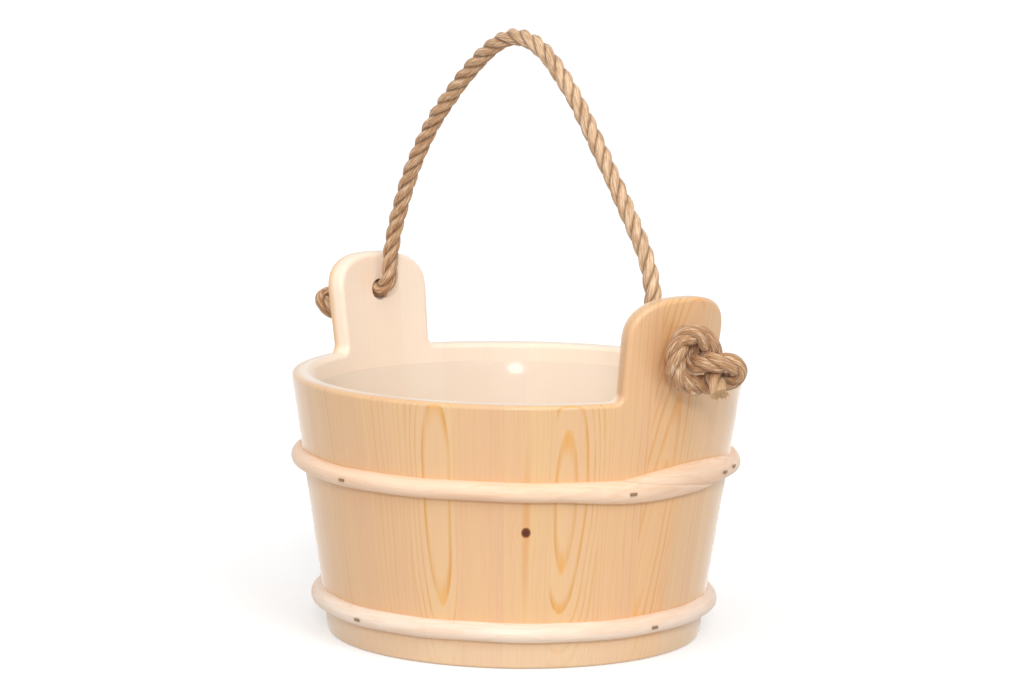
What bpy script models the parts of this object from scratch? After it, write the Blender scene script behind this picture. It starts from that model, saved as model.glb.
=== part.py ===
"""Coopered sauna bucket with a knotted rope handle and a lift-out liner.

Metres, +Z up. The staves stand on z = 0 around the Z axis, and the two ears
with the rope holes lie on the X axis, the right-hand one on +X.
"""
from math import asin, atan, ceil, cos, pi, radians, sin, sqrt, tau

import bmesh
import bpy
from mathutils import Matrix, Vector
from mathutils.geometry import interpolate_bezier

for old in list(bpy.data.objects):
    bpy.data.objects.remove(old, do_unlink=True)

MM = 0.001
SMOOTH_ANGLE = radians(30)

# Driving dimensions: gaps shared by pieces that touch
SEAM_GAP = 0.0003

# Driving dimensions: staves
STAVES_PER_SIDE = 11
EAR_STAVES = 3
RIM_RADIUS = 0.1300
BASE_RADIUS = 0.1076
RIM_HEIGHT = 0.1510
WALL = 0.0115
EDGE = 0.0018
STAVE_FACETS = 2

# Driving dimensions: ears
EAR_WIDTH = 0.0700
EAR_RISE = 0.0570
EAR_SHOULDER = 0.0240
EAR_ROUNDNESS = 2.6
EAR_FILLET = 0.0050
HOLE_RISE = 0.0350
HOLE_DIAMETER = 0.0120

# Driving dimensions: bottom
BOARDS = 4
BOTTOM_RAISE = 0.0070
BOTTOM_THICKNESS = 0.0090
CROZE_DEPTH = 0.0040

# Driving dimensions: hoops
UPPER_HOOP_HEIGHT = 0.1023
LOWER_HOOP_HEIGHT = 0.0215
HOOP_WIDTH = 0.0110
HOOP_PROUD = 0.0065
HOOP_TIP_PROUD = 0.0026
HOOP_TIP_WIDTH = 0.0014
HOOP_LEAD = radians(13)
HOOP_OVERLAP = radians(37)
HOOP_SWELL = 0.0050
HOOP_SWELL_REACH = radians(50)
HOOP_DIP = 0.0030
HOOP_DIP_LEAD = radians(18)
HOOP_SIDES = 6

# Driving dimensions: brads
BRAD_QUARTERS = 3
SCARF_BRAD_INSET = radians(1)
SCARF_BRAD_SPACING = radians(7)
SCARF_BRAD_RISES = (0.0020, 0.0030, -0.0012)
BRAD_LENGTH = 0.0140
BRAD_SHANK = 0.0012
BRAD_HEAD = 0.0040
BRAD_HEAD_HEIGHT = 0.0016
BRAD_HEAD_THICKNESS = 0.0006
BRAD_TIP_SHARE = 0.4

# Driving dimensions: liner
LINER_WALL = 0.0014
LINER_DROP = 0.0110
LINER_GAP = 0.0005
LINER_CORNER = 0.0060
LINER_SEGMENTS = 56

# Driving dimensions: rope
ROPE_DIAMETER = 0.0100
ROPE_LIFT = 0.0006
ROPE_STEPS = 2
ROPE_RESOLUTION = 3
LEFT_KNOT_TURN = radians(6)

# Worked out from the driving dimensions
STAVES = 2 * (STAVES_PER_SIDE + EAR_STAVES)
STAVE_ANGLE = tau / STAVES
FACET_FIT = cos(STAVE_ANGLE / STAVE_FACETS / 2)
SLOPE = (RIM_RADIUS - BASE_RADIUS) / RIM_HEIGHT
LEAN = atan(SLOPE)
EAR_TOP = RIM_HEIGHT + EAR_RISE
EAR_STOCK = EAR_TOP + WALL
HOLE_HEIGHT = RIM_HEIGHT + HOLE_RISE
BOTTOM_TOP = BOTTOM_RAISE + BOTTOM_THICKNESS


def outer_radius(z):
    """Outside radius of the wall, carried on upwards through the ears."""
    return BASE_RADIUS + SLOPE * z


def inner_radius(z):
    return outer_radius(z) - WALL


BOTTOM_RADIUS = inner_radius(BOTTOM_RAISE) + CROZE_DEPTH


def polar(radius, angle, z):
    return Vector((radius * cos(angle), radius * sin(angle), z))


def material(name, red, green, blue, roughness, metallic=0.0):
    """Principled material, its colour given in linear light."""
    made = bpy.data.materials.new(name)
    made.use_nodes = True
    shader = made.node_tree.nodes["Principled BSDF"]
    shader.inputs["Base Color"].default_value = (red, green, blue, 1.0)
    shader.inputs["Roughness"].default_value = roughness
    shader.inputs["Metallic"].default_value = metallic
    made.diffuse_color = (red, green, blue, 1.0)
    return made


PINE = material("lacquered_pine", 0.80, 0.56, 0.35, 0.35)
BOARD_PINE = material("planed_pine", 0.82, 0.62, 0.42, 0.55)
HOOP_WOOD = material("peeled_hoop_wood", 0.87, 0.70, 0.50, 0.45)
BRAD_STEEL = material("dark_steel", 0.10, 0.09, 0.08, 0.45, 1.0)
ROPE_FIBRE = material("manila_rope", 0.42, 0.27, 0.15, 0.85)
LINER_PLASTIC = material("translucent_polyethylene", 0.90, 0.80, 0.68, 0.25)


def add_object(name, data, surface=None):
    """Put mesh or curve data into the scene as one named object."""
    made = bpy.data.objects.new(name, data)
    bpy.context.collection.objects.link(made)
    if surface:
        data.materials.append(surface)
    return made


def mesh_object(name, bm, surface=None):
    bmesh.ops.recalc_face_normals(bm, faces=bm.faces)
    mesh = bpy.data.meshes.new(name)
    bm.to_mesh(mesh)
    bm.free()
    mesh.shade_smooth()
    mesh.set_sharp_from_angle(angle=SMOOTH_ANGLE)
    return add_object(name, mesh, surface)


def loft(name, rings, surface=None):
    """Closed solid through rings of equally many points, capped at both ends."""
    bm = bmesh.new()
    loops = [[bm.verts.new(point) for point in ring] for ring in rings]
    for near, far in zip(loops, loops[1:]):
        for i in range(len(near)):
            bm.faces.new((near[i - 1], near[i], far[i], far[i - 1]))
    bm.faces.new(loops[0])
    bm.faces.new(loops[-1])
    return mesh_object(name, bm, surface)


def cut(target, cutter):
    """Take the cutter's volume out of the target."""
    modifier = target.modifiers.new("cut by " + cutter.name, "BOOLEAN")
    modifier.operation = "DIFFERENCE"
    modifier.solver = "EXACT"
    modifier.object = cutter
    cutter.hide_render = True
    cutter.display_type = "WIRE"


# Staves: wedges of the wall with the groove for the bottom cut across the inside
def stave_section(top):
    """Radius and height round one stave's section, from the outer foot upwards."""
    groove_radius = (BOTTOM_RADIUS + SEAM_GAP) / FACET_FIT
    groove_low = BOTTOM_RAISE - SEAM_GAP
    groove_high = BOTTOM_TOP + SEAM_GAP
    return [
        (outer_radius(0) - EDGE, 0),
        (outer_radius(EDGE), EDGE),
        (outer_radius(top - EDGE), top - EDGE),
        (outer_radius(top) - EDGE, top),
        (inner_radius(top) + EDGE, top),
        (inner_radius(top - EDGE), top - EDGE),
        (inner_radius(groove_high), groove_high),
        (groove_radius, groove_high),
        (groove_radius, groove_low),
        (inner_radius(groove_low), groove_low),
        (inner_radius(0), 0),
    ]


def stave(name, angle, top):
    """One stave about the given angle, half a seam short of its share each side."""
    rings = []
    for column in range(STAVE_FACETS + 1):
        share = 2 * column / STAVE_FACETS - 1
        ring = []
        for radius, z in stave_section(top):
            half = STAVE_ANGLE / 2 - asin(SEAM_GAP / 2 / radius)
            ring.append(polar(radius, angle + share * half, z))
        rings.append(ring)
    return loft(name, rings, PINE)


# Ears: sawn outline above the rim, and the bore for the rope
def ear_outline():
    """Distance round the rim and height along one ear's outline, end to end."""
    half = EAR_WIDTH / 2
    spring = EAR_TOP - EAR_SHOULDER
    fillet_steps = 4
    crown_steps = 20
    left = []
    for step in range(fillet_steps + 1):
        turn = pi / 2 * step / fillet_steps
        across = half + EAR_FILLET * (1 - sin(turn))
        left.append((-across, RIM_HEIGHT + EAR_FILLET * (1 - cos(turn))))
    crown = []
    for step in range(crown_steps + 1):
        turn = pi * (1 - step / crown_steps)
        across = abs(cos(turn)) ** (2 / EAR_ROUNDNESS)
        rise = sin(turn) ** (2 / EAR_ROUNDNESS) if 0 < step < crown_steps else 0.0
        crown.append((half * (across if cos(turn) > 0 else -across), spring + EAR_SHOULDER * rise))
    right = [(-across, z) for across, z in reversed(left)]
    return left + crown + right


def ear_waste(name, angle):
    """What the saw takes off the tops of one ear's staves, half a stave past them each side."""
    reach = (EAR_STAVES + 1) / 2 * STAVE_ANGLE * RIM_RADIUS
    clear = EAR_STOCK + WALL
    outline = [(-reach, clear), (-reach, RIM_HEIGHT), *ear_outline(), (reach, RIM_HEIGHT), (reach, clear)]
    rings = []
    for radius in (inner_radius(RIM_HEIGHT) - 2 * WALL, outer_radius(EAR_TOP) + 2 * WALL):
        rings.append([polar(radius, angle + across / RIM_RADIUS, z) for across, z in outline])
    return loft(name, rings)


def rope_bore(name, side):
    """Round cutter along X through one ear."""
    sides = 24
    rings = []
    for radius in (inner_radius(RIM_HEIGHT) - WALL, outer_radius(EAR_TOP) + WALL):
        ring = []
        for step in range(sides):
            turn = tau * step / sides
            y = HOLE_DIAMETER / 2 * cos(turn)
            ring.append(Vector((side * radius, y, HOLE_HEIGHT + HOLE_DIAMETER / 2 * sin(turn))))
        rings.append(ring)
    return loft(name, rings)


staves = {}
plain_count = 0
for index in range(STAVES):
    from_right = (index + STAVES // 2) % STAVES - STAVES // 2
    from_left = index - STAVES // 2
    reach = EAR_STAVES // 2
    if abs(from_right) <= reach or abs(from_left) <= reach:
        ear, offset = ("right", from_right) if abs(from_right) <= reach else ("left", from_left)
        staves[index] = stave(f"ear_stave_{ear}_{offset + reach + 1}", index * STAVE_ANGLE, EAR_STOCK)
    else:
        plain_count += 1
        staves[index] = stave(f"stave_{plain_count:02d}", index * STAVE_ANGLE, RIM_HEIGHT)

for ear, side, middle in (("right", 1, 0), ("left", -1, STAVES // 2)):
    waste = ear_waste(f"ear_waste_{ear}", middle * STAVE_ANGLE)
    bore = rope_bore(f"rope_bore_{ear}", side)
    for offset in range(-(EAR_STAVES // 2), EAR_STAVES // 2 + 1):
        cut(staves[(middle + offset) % STAVES], waste)
        cut(staves[(middle + offset) % STAVES], bore)


# Bottom: boards edge to edge, sawn round and seated in the groove
def board(name, low, high):
    """One board between two lines parallel to X."""
    start = asin(max(-1.0, low / BOTTOM_RADIUS))
    end = asin(min(1.0, high / BOTTOM_RADIUS))
    steps = ceil((end - start) / STAVE_ANGLE) + 1
    turns = [start + (end - start) * step / steps for step in range(steps + 1)]
    outline = [(BOTTOM_RADIUS * cos(turn), BOTTOM_RADIUS * sin(turn)) for turn in turns]
    blunt = SEAM_GAP
    far_side = [(-x, y) for x, y in reversed(outline) if x > blunt]
    points = outline + far_side
    rings = [[Vector((x, y, z)) for x, y in points] for z in (BOTTOM_RAISE, BOTTOM_TOP)]
    return loft(name, rings, BOARD_PINE)


board_width = 2 * BOTTOM_RADIUS / BOARDS
for index in range(BOARDS):
    low = -BOTTOM_RADIUS + index * board_width
    first, last = index == 0, index == BOARDS - 1
    board(f"bottom_board_{index + 1}", low + (0 if first else SEAM_GAP / 2),
          low + board_width - (0 if last else SEAM_GAP / 2))


# Hoops: half-round strips whose ends overlap in a long slanting scarf
def hoop_edges(turn):
    """Lower and upper edge of the strip, from its middle line, at a turn from its first tip."""
    half = HOOP_WIDTH / 2
    low, high = -half, half
    if turn < HOOP_SWELL_REACH:
        high += HOOP_SWELL * sin(pi * turn / HOOP_SWELL_REACH)
    if turn < HOOP_OVERLAP:
        share = turn / HOOP_OVERLAP
        low = half - HOOP_WIDTH * share + SEAM_GAP / 2
        high += HOOP_TIP_WIDTH * (1 - share)
    into_dip = turn - tau + HOOP_DIP_LEAD
    if into_dip > 0:
        low -= HOOP_DIP * sin(pi * into_dip / (HOOP_OVERLAP + HOOP_DIP_LEAD))
    if turn > tau:
        share = (turn - tau) / HOOP_OVERLAP
        high = half - HOOP_WIDTH * share - SEAM_GAP / 2
        low -= HOOP_TIP_WIDTH * share
    return low, high


def hoop_crown(turn, rise):
    """How far the strip stands out from the wall at a rise from its middle line."""
    low, high = hoop_edges(turn)
    middle, half = (low + high) / 2, (high - low) / 2
    proud = HOOP_TIP_PROUD + (HOOP_PROUD - HOOP_TIP_PROUD) * min(1.0, 2 * half / HOOP_WIDTH)
    return proud * sqrt(max(0.0, 1 - ((rise - middle) / half) ** 2))


def on_wall(angle, height, rise, out):
    """Point beside the wall: rise along its slope and out square to it, clear of the staves."""
    z = height + rise * cos(LEAN)
    radius = (outer_radius(z) + SEAM_GAP) / FACET_FIT + out * cos(LEAN)
    return polar(radius, angle, z - out * sin(LEAN))


def hoop(name, height, start):
    steps = ceil((tau + HOOP_OVERLAP) / (STAVE_ANGLE / STAVE_FACETS))
    rings = []
    for step in range(steps + 1):
        turn = (tau + HOOP_OVERLAP) * step / steps
        low, high = hoop_edges(turn)
        ring = []
        for side in range(HOOP_SIDES + 1):
            rise = (low + high) / 2 + (high - low) / 2 * cos(pi * side / HOOP_SIDES)
            ring.append(on_wall(start + turn, height, rise, hoop_crown(turn, rise)))
        rings.append(ring)
    return loft(name, rings, HOOP_WOOD)


# Brads: T-headed nails through a hoop into the stave behind it
def brad_frame(height, start, turn, rise):
    """Where a brad's head meets the hoop: X along the hoop, Z out of the wall."""
    angle = start + turn
    seat = on_wall(angle, height, rise, hoop_crown(turn, rise) + SEAM_GAP)
    out = Vector((cos(LEAN) * cos(angle), cos(LEAN) * sin(angle), -sin(LEAN)))
    along = Vector((-sin(angle), cos(angle), 0.0))
    frame = Matrix((along, out.cross(along), out)).transposed().to_4x4()
    frame.translation = seat
    return frame


def rectangle(width, height, z):
    corners = ((1, 1), (-1, 1), (-1, -1), (1, -1))
    return [Vector((x * width / 2, y * height / 2, z)) for x, y in corners]


def brad(name, frame):
    tip = BRAD_SHANK * BRAD_TIP_SHARE
    rings = [
        rectangle(BRAD_HEAD, BRAD_HEAD_HEIGHT, BRAD_HEAD_THICKNESS),
        rectangle(BRAD_HEAD, BRAD_HEAD_HEIGHT, 0.0),
        rectangle(BRAD_SHANK, BRAD_SHANK, 0.0),
        rectangle(BRAD_SHANK, BRAD_SHANK, -BRAD_LENGTH + BRAD_SHANK),
        rectangle(tip, tip, -BRAD_LENGTH),
    ]
    made = loft(name, rings, BRAD_STEEL)
    made.matrix_world = frame
    return made


def brad_bore(name, frame):
    """Square cutter a seam wider than the shank all round and past its tip."""
    width = BRAD_SHANK + 2 * SEAM_GAP
    rings = [rectangle(width, width, BRAD_HEAD), rectangle(width, width, -BRAD_LENGTH - SEAM_GAP)]
    made = loft(name, rings)
    made.matrix_world = frame
    return made


# A hoop's brads, as a turn from its first tip and a rise from its middle line
SCARF_BRAD_TURNS = (
    HOOP_OVERLAP - SCARF_BRAD_INSET,
    HOOP_OVERLAP - SCARF_BRAD_INSET + SCARF_BRAD_SPACING,
    tau + SCARF_BRAD_INSET,
)
BRAD_PLACES = [(HOOP_LEAD + quarter * pi / 2, 0.0) for quarter in range(1, BRAD_QUARTERS + 1)]
BRAD_PLACES += zip(SCARF_BRAD_TURNS, SCARF_BRAD_RISES)

# The upper hoop's scarf lies over the right ear, the lower one's over the left
for hoop_name, height, start in (("upper_hoop", UPPER_HOOP_HEIGHT, -HOOP_LEAD),
                                 ("lower_hoop", LOWER_HOOP_HEIGHT, pi - HOOP_LEAD)):
    strip = hoop(hoop_name, height, start)
    bore_reach = STAVE_ANGLE / 2 + (BRAD_SHANK + 4 * SEAM_GAP) / inner_radius(height)
    for number, (turn, rise) in enumerate(BRAD_PLACES, 1):
        frame = brad_frame(height, start, turn, rise)
        brad(f"{hoop_name}_brad_{number}", frame)
        bore = brad_bore(f"{hoop_name}_brad_bore_{number}", frame)
        cut(strip, bore)
        for index, piece in staves.items():
            away = (start + turn - index * STAVE_ANGLE + pi) % tau - pi
            if abs(away) < bore_reach:
                cut(piece, bore)


# Liner: thin moulded pail that stands on the bottom, a little below the rim
def turned(name, section, segments, surface):
    """Solid turned about Z from a section that starts and ends on the axis."""
    bm = bmesh.new()
    first = bm.verts.new((0.0, 0.0, section[0][1]))
    last = bm.verts.new((0.0, 0.0, section[-1][1]))
    loops = []
    for step in range(segments):
        turn = tau * step / segments
        loops.append([bm.verts.new(polar(radius, turn, z)) for radius, z in section[1:-1]])
    for step in range(segments):
        near, far = loops[step - 1], loops[step]
        bm.faces.new((first, near[0], far[0]))
        bm.faces.new((last, far[-1], near[-1]))
        for i in range(1, len(near)):
            bm.faces.new((near[i - 1], near[i], far[i], far[i - 1]))
    return mesh_object(name, bm, surface)


def liner_section():
    """Radius and height of the liner, under its floor, up outside, down inside, over its floor."""
    floor = BOTTOM_TOP + SEAM_GAP
    top = RIM_HEIGHT - LINER_DROP
    corner_steps = 4
    lip = LINER_WALL / 2

    def outside(z):
        return inner_radius(z) * FACET_FIT - LINER_GAP

    section = [(0.0, floor)]
    for step in range(corner_steps + 1):
        turn = pi / 2 * step / corner_steps
        z = floor + LINER_CORNER * (1 - cos(turn))
        section.append((outside(z) - LINER_CORNER * (1 - sin(turn)), z))
    section += [(outside(top - lip), top - lip), (outside(top) - lip, top),
                (outside(top - lip) - LINER_WALL, top - lip)]
    inside_corner = LINER_CORNER - LINER_WALL
    for step in range(corner_steps, -1, -1):
        turn = pi / 2 * step / corner_steps
        z = floor + LINER_WALL + inside_corner * (1 - cos(turn))
        section.append((outside(z) - LINER_WALL - inside_corner * (1 - sin(turn)), z))
    section.append((0.0, floor + LINER_WALL))
    return section


turned("liner", liner_section(), LINER_SEGMENTS, LINER_PLASTIC)

# Rope: one length through both ears, with an overhand knot outside each.
# The knot's points are millimetres out from the ear, across it and up from the hole's axis, hole to tail.
KNOT_ROUTE = (
    (5.5, 0.3, -0.1), (10.0, 1.1, -2.7), (15.3, 1.4, -6.0), (21.8, 1.4, -8.0), (28.1, 4.8, -8.8),
    (30.5, 11.6, -11.6), (27.5, 17.0, -17.4), (20.9, 17.6, -22.8), (14.3, 12.8, -25.6), (10.5, 4.6, -26.0),
    (8.5, -4.6, -24.6), (8.1, -11.8, -19.6), (8.5, -15.2, -12.5), (11.1, -15.2, -4.8), (14.5, -12.0, 1.4),
    (18.5, -4.8, 4.6), (19.7, 4.6, 3.8), (18.1, 12.2, -1.6), (15.3, 12.8, -9.2), (17.9, 8.0, -15.6),
    (23.9, 3.4, -20.6), (27.5, 1.8, -27.4),
)

# The arch's points are millimetres along X and up from the holes' axis, left to right.
ARCH_ROUTE = (
    (-124.4, 0.6), (-120.2, 1.8), (-116.9, 5.0), (-115.2, 10.5), (-114.6, 20.5), (-111.2, 36.3),
    (-104.7, 54.1), (-97.0, 72.1), (-87.5, 88.0), (-75.6, 104.8), (-61.1, 120.5), (-44.6, 136.0),
    (-27.0, 149.4), (-10.0, 156.6), (6.0, 155.8), (20.4, 148.9), (34.0, 137.0), (46.1, 124.0),
    (57.2, 110.0), (66.9, 96.7), (76.6, 83.5), (86.0, 70.3), (94.8, 57.3), (102.8, 45.0),
    (108.3, 32.5), (110.9, 22.0), (111.4, 13.6), (113.1, 7.1), (117.9, 2.3), (124.4, 0.6),
)


def knot_points(side, turn):
    """The knot's route from the hole to the tail, in the swing axis's frame."""
    face = outer_radius(HOLE_HEIGHT)
    facing = Matrix.Rotation(0.0 if side > 0 else pi, 3, "Z")
    placed = Matrix.Rotation(turn, 3, "X") @ facing
    return [placed @ Vector((face + out * MM, across * MM, up * MM)) for out, across, up in KNOT_ROUTE]


def smooth_points(route, steps):
    """Points along one smooth curve through the route's own points."""
    points = []
    for i in range(len(route) - 1):
        before, start, end = route[max(i - 1, 0)], route[i], route[i + 1]
        after = route[min(i + 2, len(route) - 1)]
        reach = (end - start).length
        lead = (end - before).normalized() * reach / 3
        trail = (after - start).normalized() * reach / 3
        points += interpolate_bezier(start, start + lead, end - trail, end, steps + 1)[:-1]
    return points + [route[-1]]


def least_gap(points, diameter):
    """Smallest clear gap between two stretches of the rope that aren't neighbours."""
    lengths = [0.0]
    for near, far in zip(points, points[1:]):
        lengths.append(lengths[-1] + (far - near).length)
    neighbour = pi / 2 * diameter
    gaps = [(points[i] - points[j]).length for i in range(len(points)) for j in range(i)
            if lengths[i] - lengths[j] > neighbour]
    return min(gaps) - diameter


def rope_handle():
    face = outer_radius(HOLE_HEIGHT)
    through = [Vector((side * face, 0.0, ROPE_LIFT)) for side in (-1, 1)]
    arch = [Vector((x * MM, 0.0, up * MM)) for x, up in ARCH_ROUTE]
    left = knot_points(-1, LEFT_KNOT_TURN)[::-1]
    route = [*left, through[0], *arch, through[1], *knot_points(1, 0.0)]
    points = smooth_points(route, ROPE_STEPS)
    curve = bpy.data.curves.new("rope_handle", "CURVE")
    curve.dimensions = "3D"
    curve.bevel_depth = ROPE_DIAMETER / 2
    curve.bevel_resolution = ROPE_RESOLUTION
    curve.use_fill_caps = True
    spline = curve.splines.new("POLY")
    spline.points.add(len(points) - 1)
    for spot, point in zip(spline.points, points):
        spot.co = (*point, 1.0)
    made = add_object("rope_handle", curve, ROPE_FIBRE)
    made.location = (0.0, 0.0, HOLE_HEIGHT)
    print(f"rope: {len(points)} points, least gap to itself {least_gap(points, ROPE_DIAMETER) / MM:.2f} mm")


rope_handle()
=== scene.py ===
from math import atan, cos, exp, pi, radians, sin, sqrt, tau
from random import Random

import bmesh
import bpy
from mathutils import Matrix, Vector
from mathutils.geometry import interpolate_bezier


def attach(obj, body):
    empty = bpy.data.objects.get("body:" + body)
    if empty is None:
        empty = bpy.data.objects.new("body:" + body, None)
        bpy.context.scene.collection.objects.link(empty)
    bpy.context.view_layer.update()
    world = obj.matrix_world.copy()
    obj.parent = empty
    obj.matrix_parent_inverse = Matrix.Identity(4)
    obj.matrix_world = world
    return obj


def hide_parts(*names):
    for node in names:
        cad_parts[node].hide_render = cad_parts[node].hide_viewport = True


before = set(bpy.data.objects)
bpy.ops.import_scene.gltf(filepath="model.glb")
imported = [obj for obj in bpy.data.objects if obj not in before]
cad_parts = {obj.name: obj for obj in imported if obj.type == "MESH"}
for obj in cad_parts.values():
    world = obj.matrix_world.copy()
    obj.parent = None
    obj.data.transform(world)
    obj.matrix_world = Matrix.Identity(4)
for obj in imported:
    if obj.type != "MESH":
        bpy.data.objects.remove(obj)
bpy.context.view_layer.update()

# Wall staves: 22 upright pine boards, each planed to a slight wedge so that together they close a flared ring.
# They are glued edge to edge, then the wall is turned smooth inside and out, its rim is rounded and it is lacquered.
# A groove round the inside, the croze, is cut just above the feet and holds the bottom.
STAVES = 28
RIM_RADIUS = 0.1300
BASE_RADIUS = 0.1076
RIM_HEIGHT = 0.1510
WALL = 0.0115
RIM_ROUNDING = 0.0030
FOOT_ROUNDING = 0.0016
GLUE_LINE = 0.00003
CROZE_DEPTH = 0.0040
BOTTOM_RAISE = 0.0070
BOTTOM_THICKNESS = 0.0090
STAVE_COLUMNS = 8
NEAR = 0.00002

STAVE_ANGLE = tau / STAVES
STAVE_WIDTH = STAVE_ANGLE * RIM_RADIUS
SLOPE = (RIM_RADIUS - BASE_RADIUS) / RIM_HEIGHT


def outer_radius(height):
    """Outside radius of the wall, carried on upwards through the ears."""
    return BASE_RADIUS + SLOPE * height


def polar(radius, angle, height):
    return Vector((radius * cos(angle), radius * sin(angle), height))


def work_on(piece, mode="OBJECT"):
    """Make a piece the only one selected, in object or edit mode."""
    if bpy.context.object and bpy.context.object.mode != "OBJECT":
        bpy.ops.object.mode_set(mode="OBJECT")
    bpy.ops.object.select_all(action="DESELECT")
    piece.select_set(True)
    bpy.context.view_layer.objects.active = piece
    if mode == "EDIT":
        bpy.ops.object.mode_set(mode="EDIT")
        bpy.ops.mesh.select_all(action="SELECT")


def pick_edges(piece, test):
    """In edit mode, select only the edges whose two ends pass the test."""
    bpy.ops.mesh.select_mode(type="EDGE")
    bpy.ops.mesh.select_all(action="DESELECT")
    for edge in bmesh.from_edit_mesh(piece.data).edges:
        edge.select_set(test(edge.verts[0].co, edge.verts[1].co))
    bmesh.update_edit_mesh(piece.data)


def round_edges(piece, rounding, steps, test):
    """In edit mode, round off the edges whose two ends pass the test."""
    pick_edges(piece, test)
    bpy.ops.mesh.bevel(offset=rounding, segments=steps, affect="EDGES")


def ease(board):
    """Round over a flat board's rim and foot, along its outer and inner face."""
    work_on(board, "EDIT")
    round_edges(board, RIM_ROUNDING, 5, lambda a, b: abs(a.y - b.y) < NEAR and min(a.z, b.z) > RIM_HEIGHT - NEAR)
    round_edges(board, FOOT_ROUNDING, 3, lambda a, b: abs(a.y - b.y) < NEAR and max(a.z, b.z) < NEAR)
    work_on(board)


def carve(piece, cutter):
    """Take the cutter's volume out of the piece and throw the cutter away."""
    work_on(piece)
    change = piece.modifiers.new("carve", "BOOLEAN")
    change.operation = "DIFFERENCE"
    change.solver = "EXACT"
    change.object = cutter
    bpy.ops.object.modifier_apply(modifier=change.name)
    bpy.data.objects.remove(cutter)


def plank(name, low, high):
    """Add a straight box between two corners."""
    middle = [(a + b) / 2 for a, b in zip(low, high)]
    bpy.ops.mesh.primitive_cube_add(size=1, location=middle, scale=[b - a for a, b in zip(low, high)])
    bpy.ops.object.transform_apply()
    made = bpy.context.object
    made.name = name
    return made


def cut_croze(piece, reach):
    """Cut the bottom's groove across the inner face of a flat board."""
    floor = WALL - CROZE_DEPTH
    carve(piece, plank("croze", (-reach, floor, BOTTOM_RAISE), (reach, 2 * WALL, BOTTOM_RAISE + BOTTOM_THICKNESS)))


def saw(place, way, **cleared):
    """In edit mode, cut right through a piece at a place along a way, and clear off one side if asked."""
    bpy.ops.mesh.select_all(action="SELECT")
    bpy.ops.mesh.bisect(plane_co=Vector(way) * place, plane_no=way, use_fill=bool(cleared), **cleared)


def add_columns(piece, low, high, count):
    """Divide a flat board lengthwise, so that it can be bent."""
    work_on(piece, "EDIT")
    for step in range(1, count):
        saw(low + (high - low) * step / count, (1, 0, 0))
    work_on(piece)


def copy_of(piece, name):
    made = piece.copy()
    made.data = piece.data.copy()
    made.name = name
    made.data.name = name
    bpy.context.collection.objects.link(made)
    return made


def mark(piece, name, values):
    """Store a vector for each point of a piece, for its material to read."""
    layer = piece.data.attributes.new(name, "FLOAT_VECTOR", "POINT")
    layer.data.foreach_set("vector", [number for value in values for number in value])


def mark_all(piece, **marks):
    """Store the same vector at every point of a piece."""
    for name, value in marks.items():
        mark(piece, name, [value] * len(piece.data.vertices))


def bend(piece, middle):
    """Wrap a flat board onto the bucket's cone, keeping its flat coordinates for the grain."""
    flat = [vertex.co.copy() for vertex in piece.data.vertices]
    mark(piece, "board", flat)
    for vertex, (across, depth, height) in zip(piece.data.vertices, flat):
        vertex.co = polar(outer_radius(height) - depth, middle + across / RIM_RADIUS, height)


def fit(piece, surface, slot, body, *nodes, crease=35):
    """Shade a finished piece, give it its material and say what it rides on and stands for."""
    work_on(piece)
    bpy.ops.object.shade_smooth_by_angle(angle=radians(crease))
    even = piece.modifiers.new("even shading", "WEIGHTED_NORMAL")
    even.keep_sharp = True
    bpy.ops.object.modifier_apply(modifier=even.name)
    piece.data.materials.clear()
    piece.data.materials.append(surface)
    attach(piece, body)
    if nodes:
        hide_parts(*nodes)


def linear(code):
    """Linear-light colour of an sRGB hex code."""
    shares = [int(code[i:i + 2], 16) / 255 for i in (1, 3, 5)]
    return (*(s / 12.92 if s <= 0.04045 else ((s + 0.055) / 1.055) ** 2.4 for s in shares), 1.0)


def feed(made, node, feeds):
    """Set or link a node's inputs: a feed is a value, a socket, or a node for its first output in use."""
    for socket, value in feeds.items():
        if isinstance(value, bpy.types.Node):
            value = next(output for output in value.outputs if output.enabled)
        if isinstance(value, bpy.types.NodeSocket):
            made.node_tree.links.new(value, node.inputs[socket])
        else:
            node.inputs[socket].default_value = value


def add(made, kind, feeds={}, **settings):
    """Add a shader node to a material, with its settings and what feeds it."""
    node = made.node_tree.nodes.new("ShaderNode" + kind)
    for name, value in settings.items():
        setattr(node, name, value)
    feed(made, node, feeds)
    return node


def new_material(name):
    """A material with a principled shader, and that shader."""
    made = bpy.data.materials.new(name)
    made.use_nodes = True
    return made, made.node_tree.nodes["Principled BSDF"]


# settings that many nodes share: a soft step, a mix of two colours, and one colour multiplied into another
SOFT = {"interpolation_type": "SMOOTHSTEP"}
COLOUR = {"data_type": "RGBA"}
TINTED = {"data_type": "RGBA", "blend_type": "MULTIPLY"}


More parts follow.
